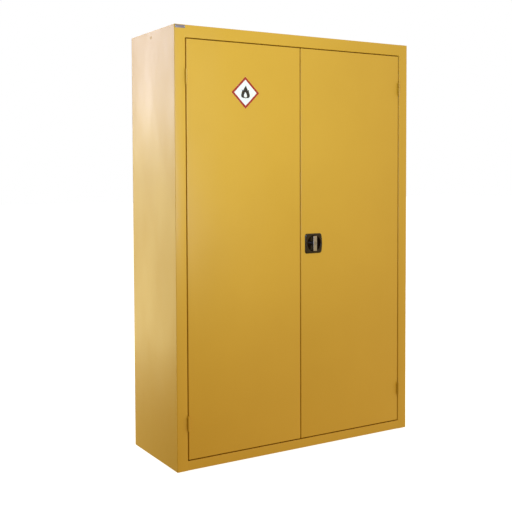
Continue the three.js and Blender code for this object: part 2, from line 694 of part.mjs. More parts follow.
place('slide_bolt_upper', slideBolt(1, UPPER_TIP_Z), BRIGHT_STEEL);
place('slide_bolt_lower', slideBolt(-1, LOWER_TIP_Z), BRIGHT_STEEL);
const upperBoltGuideSpan = [UPPER_GUIDE_TOP - BOLT_GUIDE_LENGTH, UPPER_GUIDE_TOP];
const lowerBoltGuideSpan = [LOWER_GUIDE_BOTTOM, LOWER_GUIDE_BOTTOM + BOLT_GUIDE_LENGTH];
place('bolt_guide_upper', guideBlock(BOLT_X, upperBoltGuideSpan), GALVANISED);
place('bolt_guide_lower', guideBlock(BOLT_X, lowerBoltGuideSpan), GALVANISED);

const part = new THREE.Group();
part.add(cabinet);

export default part;
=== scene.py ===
"""Looks of a two-door flammable storage cabinet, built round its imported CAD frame.

Metres, +Z up, doors towards -Y. Pieces are placed by the CAD nodes' boxes.
The panels and doors are rebuilt with real bends and rounded edges, and the hinges, handle, label
and name plate with their rolled knuckles, fillets, chamfers and rivets. The shelving, rods and
other inner fittings keep their CAD shapes.
"""

import math

import bmesh
import bpy
from mathutils import Matrix, Vector


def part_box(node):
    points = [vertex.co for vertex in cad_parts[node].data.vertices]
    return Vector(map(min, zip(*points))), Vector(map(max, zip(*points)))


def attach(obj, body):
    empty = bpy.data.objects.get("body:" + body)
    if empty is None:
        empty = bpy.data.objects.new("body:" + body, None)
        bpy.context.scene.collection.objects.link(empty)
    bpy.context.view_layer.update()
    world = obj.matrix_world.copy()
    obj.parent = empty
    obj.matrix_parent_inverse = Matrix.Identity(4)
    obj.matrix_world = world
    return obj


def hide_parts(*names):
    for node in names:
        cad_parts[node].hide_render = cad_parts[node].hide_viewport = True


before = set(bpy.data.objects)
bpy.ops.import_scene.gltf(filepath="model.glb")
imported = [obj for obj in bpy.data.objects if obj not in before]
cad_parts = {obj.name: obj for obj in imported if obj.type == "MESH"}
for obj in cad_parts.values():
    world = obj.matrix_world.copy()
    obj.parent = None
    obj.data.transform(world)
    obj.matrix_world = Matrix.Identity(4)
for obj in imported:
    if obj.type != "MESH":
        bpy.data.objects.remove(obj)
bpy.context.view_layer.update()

MM = 0.001
SIDES = {"left": -1, "right": 1}
LEVELS = ("upper", "lower")

# ------------------------------------------------------------ sizes read from the frame

panel_low, panel_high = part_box("side_panel_left")
rail_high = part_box("base_rail_front")[1]
top_low, top_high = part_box("top_panel")
back_low, back_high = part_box("back_panel")
door_low, door_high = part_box("door_left")

AIR = 0.3 * MM
FRONT = panel_low.y
BACK = back_high.y
FLOOR = panel_low.z
TOP = panel_high.z
HALF_WIDTH = -panel_low.x
SHEET = back_high.y - back_low.y
JAMB_X = rail_high.x + AIR
STOP_X = -panel_high.x
STOP_Y = rail_high.y - SHEET
DOOR_DEPTH = door_high.y - door_low.y
BACK_FLANGE = 20 * MM
STOP_LIP = 14 * MM
TOP_RAIL_Z = top_low.z + STOP_LIP
BASE_RAIL_Z = rail_high.z - STOP_LIP - SHEET
BEND = 1.4 * MM
BEND_OUTSIDE = SHEET + BEND
SHARP_ANGLE = math.radians(40)
SAME_PLACE = 1e-7
STRAIGHT = 1e-6
LEAST_CORNER = 1e-5

# ------------------------------------------------------------ mesh tools


def shade(mesh):
    mesh.shade_smooth()
    mesh.set_sharp_from_angle(angle=SHARP_ANGLE)


def mesh_object(name, bm):
    """Turns a bmesh into an object with smooth shading, broken at real edges."""
    bmesh.ops.remove_doubles(bm, verts=bm.verts, dist=SAME_PLACE)
    bmesh.ops.recalc_face_normals(bm, faces=bm.faces)
    mesh = bpy.data.meshes.new(name)
    bm.to_mesh(mesh)
    bm.free()
    shade(mesh)
    piece = bpy.data.objects.new(name, mesh)
    bpy.context.scene.collection.objects.link(piece)
    return piece


def loft(name, rings, looped=False):
    """Skins a stack of equal rings of points. The ends are capped, or joined when looped."""
    bm = bmesh.new()
    levels = [[bm.verts.new(point) for point in ring] for ring in rings]
    pairs = list(zip(levels, levels[1:]))
    if looped:
        pairs.append((levels[-1], levels[0]))
    else:
        bm.faces.new(reversed(levels[0]))
        bm.faces.new(levels[-1])
    for lower, upper in pairs:
        for i in range(len(lower)):
            j = (i + 1) % len(lower)
            bm.faces.new((lower[i], lower[j], upper[j], upper[i]))
    return mesh_object(name, bm)


def along_x(u, v, w):
    return (w, u, v)


def along_y(u, v, w):
    return (u, w, v)


def along_z(u, v, w):
    return (u, v, w)


def prism(name, outline, axis, start, end):
    """An outline swept along an axis. Its two coordinates are the other two axes, in order."""
    rings = [[axis(point[0], point[1], w) for point in outline] for w in (start, end)]
    return loft(name, rings)


def folded_section(corners, steps=6):
    """The outline of a bent sheet. The corners are those of one face, with the steel on its left."""
    face = [Vector(corner) for corner in corners]
    near, far = [], []
    for i, corner in enumerate(face):
        before = (corner - face[i - 1] if i else face[1] - corner).normalized()
        after = (face[i + 1] - corner).normalized() if i < len(face) - 1 else before
        normal = Vector((-before.y, before.x))
        turn = math.atan2(before.cross(after), before.dot(after))
        if abs(turn) < STRAIGHT:
            near.append(corner)
            far.append(corner + normal * SHEET)
            continue
        side = math.copysign(1, turn)
        radius = BEND_OUTSIDE if side > 0 else BEND
        start = corner - before * radius * math.tan(abs(turn) / 2)
        centre = start + normal * side * radius
        for step in range(steps + 1):
            ray = Matrix.Rotation(turn * step / steps, 2) @ normal
            near.append(centre - ray * side * radius)
            far.append(centre - ray * side * radius + ray * SHEET)
    return near + far[::-1]


def mirrored(corners):
    """The same open path, seen in a mirror, with its steel still on the left."""
    return [(-u, v) for u, v in reversed(corners)]


def on_side(side, corners):
    """A path drawn for the left-hand side, moved to either side."""
    return corners if side < 0 else mirrored(corners)


def span_on_side(side, low, high):
    return (low, high) if side < 0 else (-high, -low)


def rounded_rectangle(half_u, half_v, corner, steps=5):
    """Points round a rectangle with rounded corners, about the origin."""
    corner = max(corner, LEAST_CORNER)
    points = []
    for quarter in range(4):
        sign_u = 1 if quarter in (0, 3) else -1
        sign_v = 1 if quarter in (0, 1) else -1
        for step in range(steps + 1):
            angle = math.pi / 2 * (quarter + step / steps)
            u = sign_u * (half_u - corner) + corner * math.cos(angle)
            v = sign_v * (half_v - corner) + corner * math.sin(angle)
            points.append((u, v))
    return points


def box_prism(name, x, y, z, edge=0.2 * MM):
    """A block with slightly rounded edges, from three spans."""
    half_x, half_y = (x[1] - x[0]) / 2, (y[1] - y[0]) / 2
    centre = Vector(((x[0] + x[1]) / 2, (y[0] + y[1]) / 2, 0))
    rings = []
    for inset, height in ((edge, z[0]), (0, z[0] + edge), (0, z[1] - edge), (edge, z[1])):
        outline = rounded_rectangle(half_x - inset, half_y - inset, edge, steps=2)
        rings.append([centre + Vector((u, v, height)) for u, v in outline])
    return loft(name, rings)


def turned(name, outline, centre, axis, sides=48):
    """A turned body: closed half-outline of (radius, distance along the axis) about a centre."""
    bm = bmesh.new()
    rings = []
    for radius, along in outline:
        if radius < SAME_PLACE:
            rings.append([bm.verts.new(Vector(axis(0, 0, along)) + centre)])
            continue
        ring = []
        for i in range(sides):
            angle = math.tau * i / sides
            point = Vector(axis(radius * math.cos(angle), radius * math.sin(angle), along))
            ring.append(bm.verts.new(point + centre))
        rings.append(ring)
    pairs = list(zip(rings, rings[1:]))
    if len(rings[0]) > 1:
        pairs.append((rings[-1], rings[0]))
    for lower, upper in pairs:
        for i in range(sides):
            j = (i + 1) % sides
            corners = [lower[i % len(lower)], lower[j % len(lower)]]
            corners += [upper[j % len(upper)], upper[i % len(upper)]]
            face = list(dict.fromkeys(corners))
            if len(face) > 2:
                bm.faces.new(face)
    return mesh_object(name, bm)


def applied(piece):
    """Fixes the piece's modifiers into its mesh."""
    graph = bpy.context.evaluated_depsgraph_get()
    mesh = bpy.data.meshes.new_from_object(piece.evaluated_get(graph))
    piece.modifiers.clear()
    piece.data = mesh
    shade(mesh)
    return piece


def combined(piece, others, operation):
    """Joins or cuts a piece with others, which are used up."""
    for other in others:
        step = piece.modifiers.new("combine", "BOOLEAN")
        step.operation = operation
        step.solver = "EXACT"
        step.object = other
    applied(piece)
    for other in others:
        bpy.data.objects.remove(other)
    return piece


def joined(piece, *others):
    return combined(piece, others, "UNION")


def cut(piece, *others):
    return combined(piece, others, "DIFFERENCE")


def soften(piece, width):
    """Rounds a piece's sharp edges."""
    step = piece.modifiers.new("soft_edges", "BEVEL")
    step.width = width
    step.segments = 2
    step.limit_method = "ANGLE"
    step.angle_limit = SHARP_ANGLE
    step.harden_normals = False


def dress(piece, body, material, slot, *replaced):
    """Gives a new piece its body and its finish, and hides the CAD nodes that it stands for."""
    piece.data.materials.clear()
    piece.data.materials.append(material)
    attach(piece, body)
    if replaced:
        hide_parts(*replaced)


# ------------------------------------------------------------ materials


def add(tree, kind, inputs=None, **settings):
    """Adds a node. An input that is a socket is linked, and any other value is set."""
    node = tree.nodes.new(kind)
    for key, value in settings.items():
        setattr(node, key, value)
    for key, value in (inputs or {}).items():
        if isinstance(value, bpy.types.NodeSocket):
            tree.links.new(value, node.inputs[key])
        else:
            node.inputs[key].default_value = value
    return node


def new_material(name, **sockets):
    """A material with one Principled shader, whose plain values are set on its own sockets."""
    material = bpy.data.materials.new(name)
    material.use_nodes = True
    tree = material.node_tree
    shader = tree.nodes["Principled BSDF"]
    for key, value in sockets.items():
        shader.inputs[key.replace("_", " ")].default_value = value
    return material, tree, shader


def object_place(tree):
    return add(tree, "ShaderNodeTexCoord").outputs["Object"]


def stretched(tree, place, scale):
    return add(tree, "ShaderNodeMapping", {"Vector": place, "Scale": scale}).outputs["Vector"]


def noise(tree, place, scale, detail=2.0, roughness=0.5):
    inputs = {"Vector": place, "Scale": scale, "Detail": detail, "Roughness": roughness}
    return add(tree, "ShaderNodeTexNoise", inputs).outputs["Fac"]


def spread(tree, value, low, high, start=0.3, end=0.7):
    """Maps a value between start and end onto low to high."""
    inputs = {"Value": value, "From Min": start, "From Max": end, "To Min": low, "To Max": high}
    return add(tree, "ShaderNodeMapRange", inputs).outputs["Result"]


def mix_colour(tree, factor, first, second):
    node = add(tree, "ShaderNodeMix", data_type="RGBA")
    for key, value in ((0, factor), (6, first), (7, second)):
        if isinstance(value, bpy.types.NodeSocket):
            tree.links.new(value, node.inputs[key])
        else:
            node.inputs[key].default_value = value
    return node.outputs[2]


def bump(tree, height, strength, distance, normal=None):
    inputs = {"Height": height, "Strength": strength, "Distance": distance}
    if normal is not None:
        inputs["Normal"] = normal
    return add(tree, "ShaderNodeBump", inputs).outputs["Normal"]


def edge_mask(tree, radius):
    """About 1 along sharp edges within the radius, and 0 on flat faces."""
    rounded_edge = add(tree, "ShaderNodeBevel", {"Radius": radius}, samples=4).outputs["Normal"]
    true = add(tree, "ShaderNodeNewGeometry").outputs["Normal"]
    dot = add(tree, "ShaderNodeVectorMath", {0: rounded_edge, 1: true}, operation="DOT_PRODUCT")
    return spread(tree, dot.outputs["Value"], 1.0, 0.0, 0.75, 0.99)


def link(tree, source, shader, key):
    tree.links.new(source, shader.inputs[key])


def powder_coat():
    """Semi-gloss powder coat: orange peel, faint clouding, and a lighter yellow along the folds, partly
    thin paint and partly a painted edge highlight.
    """
    material, tree, shader = new_material("yellow_powder_coat", Specular_IOR_Level=0.7)
    place = object_place(tree)
    clouds = spread(tree, noise(tree, place, 2.6, 3.0), 0.0, 1.0)
    body = mix_colour(tree, clouds, (0.605, 0.330, 0.021, 1), (0.635, 0.350, 0.025, 1))
    grain = spread(tree, noise(tree, place, 420.0, 1.0), 0.0, 0.08)
    body = mix_colour(tree, grain, body, (0.50, 0.25, 0.012, 1))
    # Lighter yellow along sharp edges: partly thin paint on the folds, partly a painted edge highlight.
    edges = edge_mask(tree, 1.2 * MM)
    rounded_edge = add(tree, "ShaderNodeMath", {0: edges, 1: 0.35}, operation="MULTIPLY").outputs["Value"]
    body = mix_colour(tree, rounded_edge, body, (0.72, 0.47, 0.11, 1))
    link(tree, body, shader, "Base Color")
    smears = noise(tree, stretched(tree, place, (3.0, 3.0, 1.2)), 2.2, 4.0, 0.6)
    link(tree, spread(tree, smears, 0.34, 0.44), shader, "Roughness")
    sway = bump(tree, noise(tree, place, 2.4, 1.0), 1.0, 0.9 * MM)
    peel = bump(tree, noise(tree, place, 260.0, 2.0), 0.35, 0.12 * MM, sway)
    link(tree, peel, shader, "Normal")
    return material


def zinc_plate():
    """Bright zinc plating with a faint spangle."""
    material, tree, shader = new_material("zinc_plated_steel", Metallic=1.0)
    place = object_place(tree)
    cells = add(tree, "ShaderNodeTexVoronoi", {"Vector": place, "Scale": 300.0}).outputs["Color"]
    grey = add(tree, "ShaderNodeRGBToBW", {"Color": cells}).outputs["Val"]
    colour = mix_colour(tree, grey, (0.50, 0.51, 0.52, 1), (0.62, 0.63, 0.62, 1))
    link(tree, colour, shader, "Base Color")
    link(tree, spread(tree, noise(tree, place, 60.0), 0.30, 0.48), shader, "Roughness")
    link(tree, bump(tree, grey, 0.15, 0.05 * MM), shader, "Normal")
    return material


def drawn_steel():
    """Bright steel with fine drawing lines from top to bottom."""
    material, tree, shader = new_material("drawn_steel", Metallic=1.0)
    place = object_place(tree)
    lines = noise(tree, stretched(tree, place, (1800.0, 1800.0, 12.0)), 1.0, 3.0)
    colour = mix_colour(tree, lines, (0.48, 0.47, 0.45, 1), (0.66, 0.65, 0.63, 1))
    link(tree, colour, shader, "Base Color")
    link(tree, spread(tree, lines, 0.22, 0.38), shader, "Roughness")
    link(tree, bump(tree, lines, 0.2, 0.03 * MM), shader, "Normal")
    return material


def satin_chrome():
    """Satin-brushed chrome, brushed along the turn bar."""
    material, tree, shader = new_material("satin_chrome", Metallic=1.0)
    place = object_place(tree)
    lines = noise(tree, stretched(tree, place, (2600.0, 2600.0, 60.0)), 1.0, 3.0)
    colour = mix_colour(tree, lines, (0.30, 0.265, 0.285, 1), (0.39, 0.345, 0.375, 1))
    link(tree, colour, shader, "Base Color")
    link(tree, spread(tree, lines, 0.26, 0.40), shader, "Roughness")
    link(tree, bump(tree, lines, 0.25, 0.02 * MM), shader, "Normal")
    return material


def black_plastic():
    """Glossy black moulding with a faint mould texture and dust-softened shine."""
    material, tree, shader = new_material("black_plastic", Specular_IOR_Level=0.30)
    place = object_place(tree)
    cloud = noise(tree, place, 90.0, 3.0)
    colour = mix_colour(tree, cloud, (0.014, 0.005, 0.002, 1), (0.021, 0.008, 0.004, 1))
    link(tree, colour, shader, "Base Color")
    link(tree, spread(tree, cloud, 0.12, 0.22), shader, "Roughness")
    link(tree, bump(tree, noise(tree, place, 1400.0), 0.12, 0.02 * MM), shader, "Normal")
    return material


def printed_vinyl(name, low, high, roughness):
    """One ink or the bare film of the label, with its fine calendered surface."""
    material, tree, shader = new_material(name)
    place = object_place(tree)
    cloud = noise(tree, place, 70.0, 3.0)
    link(tree, mix_colour(tree, cloud, low, high), shader, "Base Color")
    link(tree, spread(tree, cloud, roughness - 0.05, roughness + 0.05), shader, "Roughness")
    link(tree, bump(tree, noise(tree, place, 900.0), 0.1, 0.02 * MM), shader, "Normal")
    return material


def name_plate_finish():
    """Lightly brushed grey film on a metal plate."""
    material, tree, shader = new_material("anodised_plate", Metallic=0.3)
    place = object_place(tree)
    lines = noise(tree, stretched(tree, place, (60.0, 60.0, 2500.0)), 1.0)
    colour = mix_colour(tree, lines, (0.19, 0.155, 0.19, 1), (0.25, 0.21, 0.25, 1))
    link(tree, colour, shader, "Base Color")
    link(tree, spread(tree, lines, 0.35, 0.5), shader, "Roughness")
    link(tree, bump(tree, lines, 0.2, 0.02 * MM), shader, "Normal")
    return material


FLOOR_GLOW = 0.9


def floor_finish():
    """A pale floor that glows a little, so that shadows on it stay faint."""
    material, tree, shader = new_material("studio_floor")
    place = object_place(tree)
    cloud = noise(tree, place, 0.6, 2.0)
    colour = mix_colour(tree, cloud, (0.34, 0.34, 0.34, 1), (0.37, 0.37, 0.37, 1))
    link(tree, colour, shader, "Base Color")
    link(tree, spread(tree, cloud, 0.7, 0.8), shader, "Roughness")
    shader.inputs["Emission Color"].default_value = (1, 1, 1, 1)
    shader.inputs["Emission Strength"].default_value = FLOOR_GLOW
    return material


YELLOW = powder_coat()
ZINC = zinc_plate()
DRAWN_STEEL = drawn_steel()
CHROME = satin_chrome()
BLACK = black_plastic()
WHITE_FILM = printed_vinyl("label_white", (0.80, 0.79, 0.77, 1), (0.86, 0.85, 0.83, 1), 0.35)
RED_INK = printed_vinyl("label_red", (0.33, 0.012, 0.008, 1), (0.38, 0.018, 0.012, 1), 0.35)
BLACK_INK = printed_vinyl("label_black", (0.010, 0.009, 0.009, 1), (0.018, 0.016, 0.015, 1), 0.4)
PLATE = name_plate_finish()

# ------------------------------------------------------------ carcass


ROOF_SEAT_WIDTH = 8 * MM
SEAT_BACK_GAP = 1.7 * MM
ROOF_BACK_GAP = 1.5 * MM
FOOT_WIDTH = 25 * MM
FOOT_FRONT_GAP = 3 * MM
FOOT_BACK_GAP = 4 * MM
EDGE_PLAY = 0.25 * MM
CLEAR = 1 * MM


def side_panel(name, side):
    """Wall, front stile, jamb, door stop and back flange, folded from one sheet."""
    back = back_low.y - AIR
    section = folded_section(on_side(side, [
        (-HALF_WIDTH + BACK_FLANGE, back),
        (-HALF_WIDTH, back),
        (-HALF_WIDTH, FRONT),
        (-JAMB_X, FRONT),
        (-JAMB_X, STOP_Y),
        (-STOP_X, STOP_Y),
    ]))
    panel = prism(f"side_panel_{name}_sheet", section, along_z, FLOOR, TOP)
    seat_x = span_on_side(side, -top_high.x - EDGE_PLAY, -STOP_X + ROOF_SEAT_WIDTH)
    seat_y = (FRONT + SHEET + EDGE_PLAY, back - SEAT_BACK_GAP)
    seat = box_prism("roof_seat", seat_x, seat_y, (TOP - SHEET - AIR, TOP + CLEAR))
    foot_x = span_on_side(side, -HALF_WIDTH + SHEET / 2, -HALF_WIDTH + FOOT_WIDTH)
    foot_y = (FRONT + FOOT_FRONT_GAP, back - FOOT_BACK_GAP)
    foot = box_prism("foot", foot_x, foot_y, (FLOOR, FLOOR + SHEET))
    cut(panel, seat)
    joined(panel, foot)
    dress(panel, "carcass", YELLOW, "yellow_powder_coat", f"side_panel_{name}")


# The rails are welded to the stiles, so their faces run on to where the stiles' jamb bends begin.
RAIL_REACH = JAMB_X + BEND_OUTSIDE
NOTCH_DEPTH = 6 * MM
RAIL_FOOT = 25 * MM


def top_panel():
    """Roof sheet with the front top rail and its stop folded down from it."""
    section = folded_section([
        (top_high.y, TOP - BACK_FLANGE),
        (top_high.y, TOP),
        (FRONT, TOP),
        (FRONT, TOP_RAIL_Z),
        (STOP_Y, TOP_RAIL_Z),
        (STOP_Y, top_low.z),
    ])
    rail = prism("top_panel_sheet", section, along_x, -RAIL_REACH, RAIL_REACH)
    cut(rail, *stop_notches(top_low.z - CLEAR, TOP_RAIL_Z + NOTCH_DEPTH))
    roof_y = (FRONT + SHEET + AIR, top_high.y - ROOF_BACK_GAP)
    roof = box_prism("roof", (top_low.x, top_high.x), roof_y, (TOP - SHEET, TOP))
    joined(rail, roof)
    dress(rail, "carcass", YELLOW, "yellow_powder_coat", "top_panel")


def stop_notches(low, high):
    """Blocks that clear a rail's ends round the side panels' stops."""
    notches = []
    for side in SIDES.values():
        x = span_on_side(side, -RAIL_REACH - CLEAR, -STOP_X + AIR)
        y = (STOP_Y - BEND - AIR, STOP_Y + SHEET + AIR)
        notches.append(box_prism("notch", x, y, (low, high)))
    return notches


def base_rail():
    """Door stop, threshold, toe face and foot, folded from one strip."""
    section = folded_section([
        (STOP_Y, rail_high.z),
        (STOP_Y, BASE_RAIL_Z),
        (FRONT, BASE_RAIL_Z),
        (FRONT, FLOOR),
        (FRONT + RAIL_FOOT, FLOOR),
    ])
    rail = prism("base_rail_front_sheet", section, along_x, -RAIL_REACH, RAIL_REACH)
    cut(rail, *stop_notches(BASE_RAIL_Z - NOTCH_DEPTH, rail_high.z + CLEAR))
    dress(rail, "carcass", YELLOW, "yellow_powder_coat", "base_rail_front")


RIB_WIDTH = 26 * MM
RIB_FLANK = 5 * MM
RIB_DEPTH = 3 * MM
RIB_PLACES = (-0.42, -0.21, 0.21, 0.42)
RIB_ENDS = (0.10, 1.72)
RIB_RUN_OUT = 12 * MM
RIB_STEPS = 6


def smooth_rise(fraction):
    """Runs from 0 to 1 with level ends."""
    fraction = min(max(fraction, 0.0), 1.0)
    return (1 - math.cos(math.pi * fraction)) / 2


def swage(start, end, flank):
    """(place, share of the full depth) along a swage that rises after its start and falls to its end."""
    shares = [step / RIB_STEPS for step in range(RIB_STEPS + 1)]
    rise = [(start + flank * share, smooth_rise(share)) for share in shares]
    fall = [(end - flank * (1 - share), smooth_rise(1 - share)) for share in shares]
    return rise + fall


def back_panel():
    """Back sheet with vertical stiffening swages pressed inwards, which run out at both ends."""
    profile = [(back_low.x, 0.0)]
    for middle in RIB_PLACES:
        profile += swage(middle - RIB_WIDTH / 2, middle + RIB_WIDTH / 2, RIB_FLANK)
    profile.append((back_high.x, 0.0))
    heights = [(FLOOR, 0.0), *swage(*RIB_ENDS, RIB_RUN_OUT), (back_high.z, 0.0)]
    rings = []
    for z, share in heights:
        outside = [Vector((x, BACK - RIB_DEPTH * share * depth, z)) for x, depth in profile]
        inside = [point - Vector((0, SHEET, 0)) for point in outside]
        rings.append(outside + inside[::-1])
    panel = loft("back_panel_sheet", rings)
    dress(panel, "carcass", YELLOW, "yellow_powder_coat", "back_panel")


PLATE_CORNER = 1.2 * MM
PLATE_EDGE = 0.15 * MM
RIVET_INSET = 3 * MM
RIVET_RADIUS = 1.4 * MM
RIVET_HEIGHT = 0.5 * MM


def name_plate():
    """A blank riveted plate."""
    low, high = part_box("blank_name_plate")
    half_x, half_z = (high.x - low.x) / 2, (high.z - low.z) / 2
    centre = Vector(((low.x + high.x) / 2, 0, (low.z + high.z) / 2))
    rings = []
    for inset, y in ((0, high.y), (0, low.y + PLATE_EDGE), (PLATE_EDGE, low.y)):
        outline = rounded_rectangle(half_x - inset, half_z - inset, PLATE_CORNER)
        rings.append([centre + Vector((u, y, v)) for u, v in outline])
    plate = loft("name_plate", rings)
    dress(plate, "carcass", PLATE, "grey_plate", "blank_name_plate")
    for i, sign in enumerate((-1, 1)):
        head = Vector((centre.x + sign * (half_x - RIVET_INSET), low.y, centre.z))
        rivet = dome(f"name_plate_rivet_{i + 1}", head)
        dress(rivet, "carcass", ZINC, "galvanised_steel")


def dome(name, centre):
    """A rivet's shallow domed head, which faces -Y."""
    outline = [(0, PLATE_EDGE), (RIVET_RADIUS, PLATE_EDGE)]
    for step in range(5):
        angle = math.pi / 2 * step / 4
        outline.append((RIVET_RADIUS * math.cos(angle), -RIVET_HEIGHT * math.sin(angle)))
    return turned(name, outline, centre, along_y, 20)


PLUG_RADIUS = 7 * MM
PLUG_DISH_RADIUS = 4.6 * MM
PLUG_DISH_SLOPE = 0.8 * MM
PLUG_DISH_HEIGHT = 0.3 * MM
PLUG_HEIGHT = 1.1 * MM
PLUG_SUNK = 0.2 * MM
PLUG_FROM_FRONT = 225 * MM
PLUG_Z = TOP - 25 * MM


def side_plug(name, side):
    """A snap-in plug in the hole near the top of a side, used for bolting cabinets together."""
    outline = [(0, PLUG_SUNK), (PLUG_RADIUS, PLUG_SUNK)]
    for step in range(6):
        angle = math.pi / 2 * step / 5
        radius = PLUG_RADIUS - PLUG_HEIGHT * (1 - math.cos(angle))
        outline.append((radius, -PLUG_HEIGHT * math.sin(angle)))
    outline.append((PLUG_DISH_RADIUS, -PLUG_HEIGHT))
    outline.append((PLUG_DISH_RADIUS - PLUG_DISH_SLOPE, -PLUG_DISH_HEIGHT))
    outline.append((0, -PLUG_DISH_HEIGHT))
    outline = [(radius, along * -side) for radius, along in outline]
    centre = Vector((side * HALF_WIDTH, FRONT + PLUG_FROM_FRONT, PLUG_Z))
    plug = turned(f"side_plug_{name}", outline, centre, along_x, 40)
    dress(plug, "carcass", YELLOW, "yellow_powder_coat")


for side_name, side_sign in SIDES.items():
    side_panel(side_name, side_sign)
    side_plug(side_name, side_sign)
top_panel()
base_rail()
back_panel()
name_plate()

# ------------------------------------------------------------ doors

SIDE_RETURN = 18 * MM
END_RETURN = 30 * MM
PAN_STEPS = 6


def pan_bends(edge, outset, front, back):
    """Rings (inset in x, inset in z, corner, depth) round a pan's front bend, then round its back one."""
    angles = [math.pi / 2 * step / PAN_STEPS for step in range(PAN_STEPS + 1)]
    front_bend = []
    back_bend = []
    for angle in angles:
        inset = outset + edge * (1 - math.sin(angle))
        front_bend.append((inset, inset, edge * math.sin(angle), front + edge * (1 - math.cos(angle))))
        inset = outset + edge * (1 - math.cos(angle))
        back_bend.append((inset, inset, edge * math.cos(angle), back - edge * (1 - math.sin(angle))))
    return front_bend + back_bend


def pan_rings():
    """Rings round a folded pan, from its outer face over the returns to its inner face."""
    inside = DOOR_DEPTH - SHEET
    rings = pan_bends(BEND_OUTSIDE, 0, 0, DOOR_DEPTH)
    rings.append((SIDE_RETURN, END_RETURN, 0, DOOR_DEPTH))
    rings.append((SIDE_RETURN, END_RETURN, 0, inside))
    rings += reversed(pan_bends(BEND, SHEET, SHEET, inside))
    return rings


def door(name, *cutters):
    """A door skin with its four edges and returns, folded from one sheet."""
    low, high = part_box(f"door_{name}")
    centre = Vector(((low.x + high.x) / 2, low.y, (low.z + high.z) / 2))
    half_x, half_z = (high.x - low.x) / 2, (high.z - low.z) / 2
    rings = []
    for inset_x, inset_z, corner, depth in pan_rings():
        outline = rounded_rectangle(half_x - inset_x, half_z - inset_z, corner)
        rings.append([centre + Vector((u, depth, v)) for u, v in outline])
    pan = loft(f"door_{name}_pan", rings)
    if cutters:
        cut(pan, *cutters)
    dress(pan, f"door_{name}", YELLOW, "yellow_powder_coat", f"door_{name}")


STIFFENER_FOOT = 20 * MM


def stiffener(name):
    """Top-hat channel glued behind the door's skin."""
    node = f"door_stiffener_{name}"
    low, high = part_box(node)
    web_low, web_high = low.x + STIFFENER_FOOT, high.x - STIFFENER_FOOT
    crown = high.y - SHEET
    section = folded_section([
        (low.x, low.y),
        (web_low, low.y),
        (web_low, crown),
        (web_high, crown),
        (web_high, low.y),
        (high.x, low.y),
    ])
    channel = prism(f"{node}_channel", section, along_z, low.z, high.z)
    dress(channel, f"door_{name}", YELLOW, "yellow_powder_coat", node)


bezel_low, bezel_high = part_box("handle_bezel")
bar_low, bar_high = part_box("handle_bar")
HANDLE = Vector(((bar_low.x + bar_high.x) / 2, FRONT, (bar_low.z + bar_high.z) / 2))
BEZEL_HOLE = 38 * MM
HOLE_REACH = 5 * MM


def bezel_hole():
    """A drum that cuts the bezel's hole in the door's skin."""
    outline = [(0, -HOLE_REACH), (BEZEL_HOLE, -HOLE_REACH), (BEZEL_HOLE, HOLE_REACH), (0, HOLE_REACH)]
    return turned("bezel_hole", outline, HANDLE, along_y, 96)


door("left")
door("right", bezel_hole())
stiffener("left")
stiffener("right")

# ------------------------------------------------------------ hinges

LEAF = 1.6 * MM
LEAF_INSET = 0.35 * MM
LEAF_EDGE = 0.15 * MM
LEAF_FRONT_GAP = 0.1 * MM
KNUCKLES = 5
KNUCKLE_GAP = 0.8 * MM
KNUCKLE_SOFTNESS = 0.18 * MM
CURL = 1.9 * MM
CURL_INSET = 0.05 * MM
CURL_SWEEP = math.radians(300)
CURL_STEPS = 30
CURL_RUN_IN = 1.2 * MM
PIN_CHAMFER = 0.6 * MM


def knuckle_section(side, owner, knuckle_radius, axis):
    """A strip that runs straight out of the gap and curls round the pin."""
    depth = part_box("hinge_frame_leaf_upper_left")[1].y
    radius = knuckle_radius - CURL / 2 - CURL_INSET
    toward = -1 if owner == "frame" else 1
    offset = toward * (LEAF_INSET + LEAF / 2)
    lean = math.asin(offset / radius)
    middle = [Vector((offset, depth - axis.y))]
    middle.append(Vector((offset, radius * math.cos(lean) + CURL_RUN_IN)))
    for step in range(CURL_STEPS + 1):
        angle = lean + toward * CURL_SWEEP * step / CURL_STEPS
        middle.append(Vector((radius * math.sin(angle), radius * math.cos(angle))))
    left, right = [], []
    for i, point in enumerate(middle):
        ahead = middle[min(i + 1, len(middle) - 1)]
        behind = middle[max(i - 1, 0)]
        along = (ahead - behind).normalized()
        normal = Vector((-along.y, along.x))
        half = LEAF / 2 if i < 2 else CURL / 2
        left.append(point + normal * half)
        right.append(point - normal * half)
    outline = left + right[::-1]
    mirror = -1 if side > 0 else 1
    return [(axis.x + mirror * u, axis.y + v) for u, v in outline]


